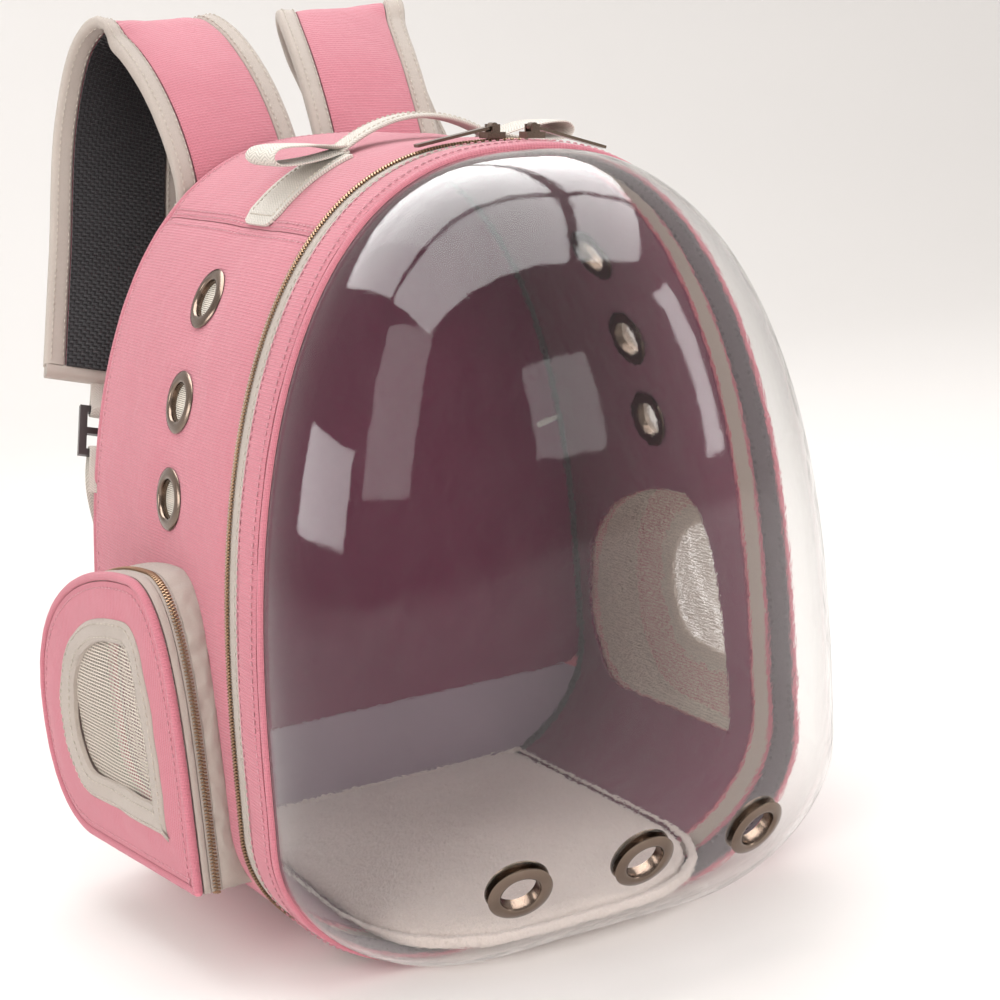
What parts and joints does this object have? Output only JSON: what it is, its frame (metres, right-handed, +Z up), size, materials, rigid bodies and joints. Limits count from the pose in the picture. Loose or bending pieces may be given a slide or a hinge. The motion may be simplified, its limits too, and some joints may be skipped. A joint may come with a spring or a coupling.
{
  "type": "bubble pet carrier backpack",
  "caption": "Soft arched pet carrier backpack with a zipped door holding a clear dome, zipped side pods with net windows, eyelet vents, top handle and shoulder straps.",
  "frame": {"origin": "underside of the base panel, below the middle of the body", "axes": "+Z up, -Y out of the clear dome, +X to the viewer's right when facing the dome"},
  "size_m": [0.4142, 0.4654, 0.4984],
  "materials": {
    "pink_fabric": "woven twill, matt",
    "beige_fabric": "woven tape, matt",
    "webbing": "flat woven webbing",
    "wine_lining": "plain weave lining",
    "grey_binding": "bound tape",
    "mauve_lining": "plain weave lining",
    "zip_teeth": "coil teeth",
    "gunmetal": "dark plated, bright edges",
    "clear_shell": "clear moulded plastic",
    "net": "open square net",
    "strap_mesh": "air mesh",
    "buckle_plastic": "moulded",
    "mat_fabric": "short soft fabric"
  },
  "bodies": {
    "carrier": {"left_side_panel": "pink_fabric", "right_side_panel": "pink_fabric", "top_panel": "pink_fabric", "base_panel": "pink_fabric", "back_panel": "pink_fabric", "back_piping": "pink_fabric", "door_band": "pink_fabric", "door_piping": "pink_fabric", "left_pod_piping": "pink_fabric", "right_pod_piping": "pink_fabric", "left_pod_face": "pink_fabric", "right_pod_face": "pink_fabric", "left_strap_pad": "pink_fabric", "right_strap_pad": "pink_fabric", "door_zip_tape": "beige_fabric", "left_pod_gusset": "beige_fabric", "right_pod_gusset": "beige_fabric", "left_pod_wall": "beige_fabric", "right_pod_wall": "beige_fabric", "left_pod_window_frame": "beige_fabric", "right_pod_window_frame": "beige_fabric", "left_strap_binding": "beige_fabric", "right_strap_binding": "beige_fabric", "carry_handle": "webbing", "strap_yoke": "webbing", "left_strap_webbing": "webbing", "right_strap_webbing": "webbing", "cabin_lining": "wine_lining", "back_lining": "wine_lining", "corner_binding": "grey_binding", "door_inner_binding": "grey_binding", "back_skirting": "mauve_lining", "door_zip_teeth": "zip_teeth", "left_pod_zip": "zip_teeth", "right_pod_zip": "zip_teeth", "left_grommet_1": "gunmetal", "left_grommet_2": "gunmetal", "left_grommet_3": "gunmetal", "right_grommet_1": "gunmetal", "right_grommet_2": "gunmetal", "right_grommet_3": "gunmetal", "bubble_grommet_1": "gunmetal", "bubble_grommet_2": "gunmetal", "bubble_grommet_3": "gunmetal", "left_zip_slider": "gunmetal", "right_zip_slider": "gunmetal", "bubble": "clear_shell", "left_pod_window_net": "net", "right_pod_window_net": "net", "left_side_net": "net", "right_side_net": "net", "left_strap_lining": "strap_mesh", "right_strap_lining": "strap_mesh", "left_strap_buckle": "buckle_plastic", "right_strap_buckle": "buckle_plastic", "floor_mat": "mat_fabric", "mat_binding": "mat_fabric"},
    "left_pull": {"left_zip_pull": "gunmetal"},
    "right_pull": {"right_zip_pull": "gunmetal"}
  },
  "joints": [
    {"name": "left_pull_swing", "type": "hinge", "parent": "carrier", "child": "left_pull", "pos_m": [0.00961, -0.098, 0.43118], "axis": [0, 1, 0], "range_deg": [0, 100]},
    {"name": "right_pull_swing", "type": "hinge", "parent": "carrier", "child": "right_pull", "pos_m": [0.03361, -0.098, 0.42933], "axis": [0, -1, 0], "range_deg": [0, 110]}
  ]
}
